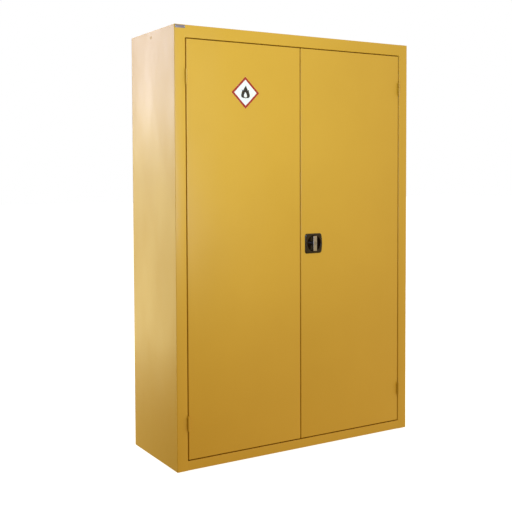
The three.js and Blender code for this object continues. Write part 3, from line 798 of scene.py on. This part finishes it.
def hinge(level, name, side):
    """Two leaves with rolled knuckles in turn, and their pin."""
    pin_low, pin_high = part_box(f"hinge_pin_{level}_{name}")
    axis = (pin_low + pin_high) / 2
    for owner in ("frame", "door"):
        node = f"hinge_{owner}_leaf_{level}_{name}"
        low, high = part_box(node)
        pitch = (high.z - low.z) / KNUCKLES
        section = knuckle_section(side, owner, (high.x - low.x) / 2, axis)
        body = "carcass" if owner == "frame" else f"door_{name}"
        inset = LEAF_INSET if owner == "door" else -LEAF_INSET - LEAF
        leaf_x = span_on_side(side, axis.x * -side + inset, axis.x * -side + inset + LEAF)
        leaf_y = (FRONT + LEAF_FRONT_GAP, high.y)
        leaf = box_prism(f"{node}_plate", leaf_x, leaf_y, (low.z, high.z), LEAF_EDGE)
        dress(leaf, body, YELLOW, "yellow_powder_coat", node)
        first = 0 if owner == "frame" else 1
        for i in range(first, KNUCKLES, 2):
            start = low.z + i * pitch + KNUCKLE_GAP / 2
            end = low.z + (i + 1) * pitch - KNUCKLE_GAP / 2
            curl = prism(f"{node}_knuckle_{i + 1}", section, along_z, start, end)
            soften(curl, KNUCKLE_SOFTNESS)
            dress(curl, body, YELLOW, "yellow_powder_coat")
    radius = (pin_high.x - pin_low.x) / 2
    outline = [
        (0, pin_low.z),
        (radius - PIN_CHAMFER, pin_low.z),
        (radius, pin_low.z + PIN_CHAMFER),
        (radius, pin_high.z - PIN_CHAMFER),
        (radius - PIN_CHAMFER, pin_high.z),
        (0, pin_high.z),
    ]
    pin = turned(f"hinge_pin_{level}_{name}_turned", outline, Vector((axis.x, axis.y, 0)), along_z, 24)
    dress(pin, "carcass", YELLOW, "yellow_powder_coat", f"hinge_pin_{level}_{name}")


for side_name, side_sign in SIDES.items():
    for level in LEVELS:
        hinge(level, side_name, side_sign)

# ------------------------------------------------------------ handle

DISH_RADIUS = 35 * MM
DISH_FLOOR_RADIUS = 30 * MM
DISH_ROLL = 1.8 * MM
DISH_DEPTH = 14 * MM
CUP_WALL = 2.2 * MM
BEZEL_SIDES = 192
BEZEL_CORNER = 9 * MM
BEZEL_BOW = 5 * MM
BEZEL_RIM = 0.8 * MM
BEZEL_SLOPE = 5.2 * MM
BOWL_RADIUS = 3 * MM
BOWL_FLARE = 0.8 * MM
BOSS_BORE = 5.6 * MM
FLOOR_RING = 6 * MM
BOSS_WALL = 4.4 * MM
BOSS_TO_CRANK = 1.5 * MM


def bezel_radius(angle, inset):
    """Distance from the dish's centre to the bezel's outline, a rounded square bowed to the right."""
    left = HANDLE.x - bezel_low.x - inset
    right = bezel_high.x - HANDLE.x - BEZEL_BOW - inset
    half_z = (bezel_high.z - bezel_low.z) / 2 - inset
    cos, sin = math.cos(angle), math.sin(angle)
    reach_x = right if cos > 0 else left
    corner = max(BEZEL_CORNER - inset, 1 * MM)
    low, high = 0.0, 2 * DISH_RADIUS
    for _ in range(30):
        middle = (low + high) / 2
        u, v = middle * abs(cos), middle * abs(sin)
        bow = BEZEL_BOW * (1 - (v / half_z) ** 2) if cos > 0 and v < half_z else 0.0
        du, dv = u - (reach_x + bow - corner), v - (half_z - corner)
        if du > 0 and dv > 0:
            outside = math.hypot(du, dv) > corner
        else:
            outside = du > corner or dv > corner
        low, high = (low, middle) if outside else (middle, high)
    return (low + high) / 2


def bezel_face():
    """Stations (inset from the outline, y) from the back edge over the slope to the flat face."""
    face = bezel_low.y
    behind = FRONT - AIR
    rim = behind - BEZEL_RIM
    return [
        (0.0, behind),
        (0.0, rim),
        (0.15 * MM, rim - 0.35 * MM),
        (0.5 * MM, rim - 0.7 * MM),
        (BEZEL_SLOPE, face + 0.25 * MM),
        (BEZEL_SLOPE + 0.6 * MM, face + 0.06 * MM),
        (BEZEL_SLOPE + 1.2 * MM, face),
    ]


def bezel_cup():
    """Stations (radius, y) over the dish's rim to its floor, through the boss and back round the cup."""
    face = bezel_low.y
    stations = []
    for step in range(6):
        angle = math.pi / 2 * step / 5
        radius = DISH_RADIUS + DISH_ROLL * (1 - math.sin(angle))
        stations.append((radius, face + DISH_ROLL * (1 - math.cos(angle))))
    floor_y = FRONT + DISH_DEPTH
    for step in range(7):
        angle = math.pi / 2 * step / 6
        radius = DISH_FLOOR_RADIUS + BOWL_FLARE - BOWL_RADIUS * (1 - math.cos(angle))
        stations.append((radius, floor_y - BOWL_RADIUS * (1 - math.sin(angle))))
    cup_back = floor_y + CUP_WALL
    boss_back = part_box("drive_cam")[0].y - BOSS_TO_CRANK
    stations.append((BOSS_BORE + FLOOR_RING, floor_y))
    stations.append((BOSS_BORE, floor_y))
    stations.append((BOSS_BORE, boss_back))
    stations.append((BOSS_BORE + BOSS_WALL, boss_back))
    stations.append((BOSS_BORE + BOSS_WALL, cup_back))
    stations.append((DISH_FLOOR_RADIUS + CUP_WALL, cup_back))
    stations.append((DISH_RADIUS + CUP_WALL, FRONT - AIR))
    return stations


def bezel():
    """Sloped face, dish with rolled rim and the cup behind the skin, as one moulding."""
    stations = [("outline", inset, y) for inset, y in bezel_face()]
    stations += [("circle", radius, y) for radius, y in bezel_cup()]
    rings = []
    for kind, size, y in stations:
        ring = []
        nearest = DISH_RADIUS + DISH_ROLL + (2 * BEZEL_SLOPE - size) / 10
        for i in range(BEZEL_SIDES):
            angle = math.tau * (i + 0.5) / BEZEL_SIDES
            radius = max(bezel_radius(angle, size), nearest) if kind == "outline" else size
            u, v = radius * math.cos(angle), radius * math.sin(angle)
            ring.append(Vector((HANDLE.x + u, y, HANDLE.z + v)))
        rings.append(ring)
    moulding = loft("handle_bezel_moulding", rings, looped=True)
    dress(moulding, "door_right", BLACK, "black_plastic", "handle_bezel")


BAR_BACK = -5 * MM
BAR_EDGE = 1.4 * MM
BAR_CORNER = 2 * MM
HUB_RADIUS = 9.2 * MM
BORE_RADIUS = 6.3 * MM
BORE_FLARE = 0.9 * MM
BORE_FLARE_DEPTH = 0.4 * MM
BORE_END = 6 * MM


def bar():
    """The cast turn bar: flat front, rounded edges, hub and the barrel's bore."""
    half_x, half_z = (bar_high.x - bar_low.x) / 2, (bar_high.z - bar_low.z) / 2
    front = bar_low.y - FRONT
    angles = [math.pi / 2 * step / 4 for step in range(5)]
    edges = [(BAR_EDGE * (1 - math.sin(a)), BAR_BACK - BAR_EDGE * (1 - math.cos(a))) for a in angles]
    edges += [(BAR_EDGE * (1 - math.cos(a)), front + BAR_EDGE * (1 - math.sin(a))) for a in angles]
    rings = []
    for inset, y in edges:
        outline = rounded_rectangle(half_x - inset, half_z - inset, BAR_CORNER - inset, steps=6)
        rings.append([HANDLE + Vector((u, y, v)) for u, v in outline])
    grip = loft("handle_bar_casting", rings)
    hub_front, hub_back = BAR_BACK - CLEAR, bar_high.y - FRONT
    hub_outline = [(0, hub_front), (HUB_RADIUS, hub_front), (HUB_RADIUS, hub_back), (0, hub_back)]
    hub = turned("hub", hub_outline, HANDLE, along_y, 64)
    bore_outline = [
        (0, front - CLEAR),
        (BORE_RADIUS + BORE_FLARE, front - CLEAR),
        (BORE_RADIUS, front + BORE_FLARE_DEPTH),
        (BORE_RADIUS, BORE_END),
        (0, BORE_END),
    ]
    bore = turned("bore", bore_outline, HANDLE, along_y, 64)
    joined(grip, hub)
    cut(grip, bore)
    dress(grip, "handle", CHROME, "satin_chrome", "handle_bar")


BARREL_CHAMFER = 0.6 * MM
BARREL_RING = 1.2 * MM
BARREL_RECESS = 0.35 * MM
BARREL_RECESS_SLOPE = 0.3 * MM
KEYWAY_HALF = (0.7 * MM, 3.4 * MM)
KEYWAY_DEPTH = 7 * MM


def barrel():
    """The key barrel with its chamfered face and keyway."""
    low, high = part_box("lock_barrel")
    radius = (high.x - low.x) / 2
    front, back = low.y - FRONT, high.y - FRONT
    outline = [
        (0, front + BARREL_RECESS),
        (radius - BARREL_RING - BARREL_RECESS_SLOPE, front + BARREL_RECESS),
        (radius - BARREL_RING, front),
        (radius - BARREL_CHAMFER, front),
        (radius, front + BARREL_CHAMFER),
        (radius, back),
        (0, back),
    ]
    body = turned("lock_barrel_turned", outline, HANDLE, along_y, 64)
    half_x, half_z = KEYWAY_HALF
    keyway_x = (HANDLE.x - half_x, HANDLE.x + half_x)
    keyway_z = (HANDLE.z - half_z, HANDLE.z + half_z)
    keyway = box_prism("keyway", keyway_x, (low.y - CLEAR, low.y + KEYWAY_DEPTH), keyway_z)
    cut(body, keyway)
    dress(body, "lock_barrel", CHROME, "satin_chrome", "lock_barrel")


bezel()
bar()
barrel()

# ------------------------------------------------------------ hazard label

FILM = 0.12 * MM
INK = 0.06 * MM
LABEL_CORNER = 2.5 * MM
BORDER_MARGIN = 0.1 * MM
BORDER_WIDTH = 8.7 * MM


def diamond(half, corner):
    """A square of the given half side, standing on its corner."""
    turn = Matrix.Rotation(math.pi / 4, 2)
    return [turn @ Vector(point) for point in rounded_rectangle(half, half, corner, steps=6)]


def flat_curve(name, outlines, place, y, thickness):
    """A flat shape with holes, lifted off the door, from closed outlines in x and z."""
    curve = bpy.data.curves.new(name, "CURVE")
    curve.dimensions = "2D"
    curve.fill_mode = "BOTH"
    curve.extrude = thickness / 2
    for outline in outlines:
        spline = curve.splines.new("POLY")
        spline.points.add(len(outline) - 1)
        for point, (u, v) in zip(spline.points, outline):
            point.co = (u, v, 0, 1)
        spline.use_cyclic_u = True
    holder = bpy.data.objects.new(name, curve)
    bpy.context.scene.collection.objects.link(holder)
    bpy.context.view_layer.update()
    graph = bpy.context.evaluated_depsgraph_get()
    mesh = bpy.data.meshes.new_from_object(holder.evaluated_get(graph))
    bpy.data.objects.remove(holder)
    turn = Matrix.Rotation(math.pi / 2, 4, "X")
    mesh.transform(Matrix.Translation((place.x, y - thickness / 2, place.z)) @ turn)
    bm = bmesh.new()
    bm.from_mesh(mesh)
    return mesh_object(name, bm)


DROP_STEPS = 64
DROP_SHARPNESS = 1.5
FLAME = {"size": 27 * MM, "width": 0.86, "lean": 0.10, "centre": (0.0, 4 * MM)}
HEART = {"size": 12 * MM, "width": 0.90, "lean": -0.12, "centre": (0.0, -8 * MM)}
TONGUE_SIZE = 18 * MM
TONGUE_LEAN = 0.42
TONGUE_OUT = 10 * MM
TONGUE_DOWN = 4 * MM


def drop(size, width, lean, centre):
    """The outline of a pointed drop, round at the foot, whose tip leans sideways."""
    outline = []
    for step in range(DROP_STEPS):
        angle = math.tau * step / DROP_STEPS
        height = math.cos(angle)
        bulge = math.sin(angle) * abs(math.sin(angle / 2)) ** DROP_SHARPNESS
        bend = lean * max(height, 0.0) ** 2
        outline.append((centre[0] + size * (width * bulge + bend), centre[1] + size * height))
    return outline


def flame(centre, inked):
    """A plain flame of three drops grown into one, with a drop-shaped hole."""
    body = flat_curve("hazard_label_flame", [drop(**FLAME)], centre, inked, INK)
    tongues = []
    for side in SIDES.values():
        foot = (side * TONGUE_OUT, -TONGUE_DOWN)
        outline = drop(TONGUE_SIZE, FLAME["width"], side * TONGUE_LEAN, foot)
        tongues.append(flat_curve("tongue", [outline], centre, inked, INK))
    heart = flat_curve("heart", [drop(**HEART)], centre, inked + INK, 3 * INK)
    joined(body, *tongues)
    cut(body, heart)
    return body


def label():
    """A diamond label: white film, red frame and a plain flame."""
    low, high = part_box("hazard_label")
    centre = (low + high) / 2
    half = (high.x - low.x) / 2 / math.sqrt(2)
    film_back = high.y
    rings = []
    for inset, y in ((0, film_back), (0, film_back - FILM * 0.6), (FILM * 0.4, film_back - FILM)):
        outline = diamond(half - inset, LABEL_CORNER)
        rings.append([Vector((centre.x + u, y, centre.z + v)) for u, v in outline])
    film = loft("hazard_label_film", rings)
    dress(film, "door_left", WHITE_FILM, "label_vinyl", "hazard_label")
    inked = film_back - FILM
    outer = half - BORDER_MARGIN
    border = [diamond(outer, LABEL_CORNER - BORDER_MARGIN), diamond(outer - BORDER_WIDTH, 0.5 * MM)]
    red = flat_curve("hazard_label_border", border, centre, inked, INK)
    dress(red, "door_left", RED_INK, "label_vinyl")
    dress(flame(centre, inked), "door_left", BLACK_INK, "label_vinyl")


label()

# ------------------------------------------------------------ shelving, rods and other CAD pieces


def keep(nodes, material, edge):
    """CAD pieces whose shape is right: a finish and softened edges."""
    for node in nodes:
        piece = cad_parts[node]
        piece.data.materials.clear()
        piece.data.materials.append(material)
        soften(piece, edge)


FOLD_EDGE = 0.15 * MM
CLIP_EDGE = 0.2 * MM
PLATE_PIECE_EDGE = 0.25 * MM
BAR_PIECE_EDGE = 0.4 * MM
GUIDE_EDGE = 0.6 * MM

uprights = [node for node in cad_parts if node.startswith("upright_")]
clips = [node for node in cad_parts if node.startswith("shelf_clip_")]
shelves = [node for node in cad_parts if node.startswith("shelf_") and node not in clips]
keep(uprights, YELLOW, FOLD_EDGE)
keep(clips, ZINC, CLIP_EDGE)
keep(shelves, YELLOW, FOLD_EDGE)
keep(["base_rail_rear", "sump_tray"], YELLOW, FOLD_EDGE)
keep(["rod_upper", "rod_lower", "slide_bolt_upper", "slide_bolt_lower"], DRAWN_STEEL, BAR_PIECE_EDGE)
keep(["rod_guide_upper", "rod_guide_lower", "bolt_guide_upper", "bolt_guide_lower"], ZINC, GUIDE_EDGE)
keep(["bezel_backplate", "drive_cam"], ZINC, PLATE_PIECE_EDGE)
keep(["handle_spindle"], DRAWN_STEEL, BAR_PIECE_EDGE)

# ------------------------------------------------------------ studio

FLOOR_REACH = 30.0
FLOOR_GAP = 0.5 * MM
FILL_LEFT_TO_RIGHT = (0.45, 1.55)
FILL_BELOW = (0.56, 0.44, 0.10, 1)
FILL_ABOVE = (0.93, 0.86, 0.60, 1)
# name, place, target, size, power in watts, colour
LIGHTS = [
    ("side_softbox", (-2.75, 3.7, 2.4), (-0.6, 0.0, 1.5), (2.2, 1.6), 62.0, (0.95, 1.0, 1.18)),
    ("side_screen", (-2.8, 3.8, 0.6), (-0.6, 0.0, 0.6), (2.8, 2.4), 60.0, (1.0, 0.97, 0.56)),
    ("back_screen", (3.2, 4.2, 2.2), (0.3, 0.1, 0.9), (2.5, 2.5), 70.0, (0.66, 1.0, 1.5)),
    ("key_softbox", (-0.84, -2.3, 1.68), (-0.1, -0.21, 4.5), (0.99, 2.6), 40.0, (0.66, 1.0, 1.5)),
]


def studio():
    """White floor, white surround and soft lights."""
    bm = bmesh.new()
    bmesh.ops.create_grid(bm, x_segments=2, y_segments=2, size=FLOOR_REACH)
    floor = mesh_object("studio_floor", bm)
    floor.location.z = FLOOR - FLOOR_GAP
    floor.data.materials.append(floor_finish())
    floor.visible_diffuse = False
    floor.visible_glossy = False
    surround()
    for name, place, target, size, power, colour in LIGHTS:
        soft_light(name, Vector(place), Vector(target), size, power, colour)


def surround():
    """A world that looks white, and lights the cabinet more from above than from below."""
    world = bpy.data.worlds.new("studio_world")
    bpy.context.scene.world = world
    world.use_nodes = True
    tree = world.node_tree
    tree.nodes.clear()
    direction = add(tree, "ShaderNodeTexCoord").outputs["Generated"]
    parts = add(tree, "ShaderNodeSeparateXYZ", {"Vector": direction}).outputs
    fill = mix_colour(tree, spread(tree, parts["Z"], 0.0, 1.0, -1.0, 1.0), FILL_BELOW, FILL_ABOVE)
    strength = spread(tree, parts["X"], *FILL_LEFT_TO_RIGHT, -1.0, 1.0)
    fill_light = add(tree, "ShaderNodeBackground", {"Color": fill, "Strength": strength})
    backdrop = add(tree, "ShaderNodeBackground", {"Color": (1, 1, 1, 1), "Strength": 1.0})
    seen = add(tree, "ShaderNodeLightPath").outputs["Is Camera Ray"]
    inputs = {0: seen, 1: fill_light.outputs[0], 2: backdrop.outputs[0]}
    either = add(tree, "ShaderNodeMixShader", inputs).outputs[0]
    add(tree, "ShaderNodeOutputWorld", {"Surface": either})


def soft_light(name, place, target, size, power, colour):
    """A rectangular softbox that lights the cabinet and doesn't show itself."""
    lamp = bpy.data.lights.new(name, "AREA")
    lamp.shape = "RECTANGLE"
    lamp.size, lamp.size_y = size
    lamp.energy = power
    lamp.color = colour
    holder = bpy.data.objects.new(name, lamp)
    holder.location = place
    holder.rotation_mode = "QUATERNION"
    holder.rotation_quaternion = (target - place).to_track_quat("-Z", "Y")
    holder.visible_camera = False
    bpy.context.scene.collection.objects.link(holder)


CAMERA_PLACE = (-2.0855, FRONT - 3.0837, 1.2068)
CAMERA_YAW = 30.883
CAMERA_PITCH = -2.439
CAMERA_ROLL = -0.226
CAMERA_LENS = 60.2
CAMERA_SHIFT = (0.0061, -0.0898)


def camera():
    """The view of the front and left side, from eye height."""
    yaw, pitch, roll = (math.radians(a) for a in (CAMERA_YAW, CAMERA_PITCH, CAMERA_ROLL))
    forward = Vector((math.sin(yaw) * math.cos(pitch), math.cos(yaw) * math.cos(pitch), math.sin(pitch)))
    right = Vector((math.cos(yaw), -math.sin(yaw), 0))
    up = right.cross(forward)
    rolled_right = right * math.cos(roll) + up * math.sin(roll)
    rolled_up = up * math.cos(roll) - right * math.sin(roll)
    data = bpy.data.cameras.new("camera")
    data.sensor_width = 36.0
    data.lens = CAMERA_LENS
    data.shift_x, data.shift_y = CAMERA_SHIFT
    holder = bpy.data.objects.new("camera", data)
    turn = Matrix((rolled_right, rolled_up, -forward)).transposed().to_4x4()
    holder.matrix_world = Matrix.Translation(CAMERA_PLACE) @ turn
    bpy.context.scene.collection.objects.link(holder)
    bpy.context.scene.camera = holder


studio()
camera()
bpy.context.scene.view_settings.view_transform = "Standard"
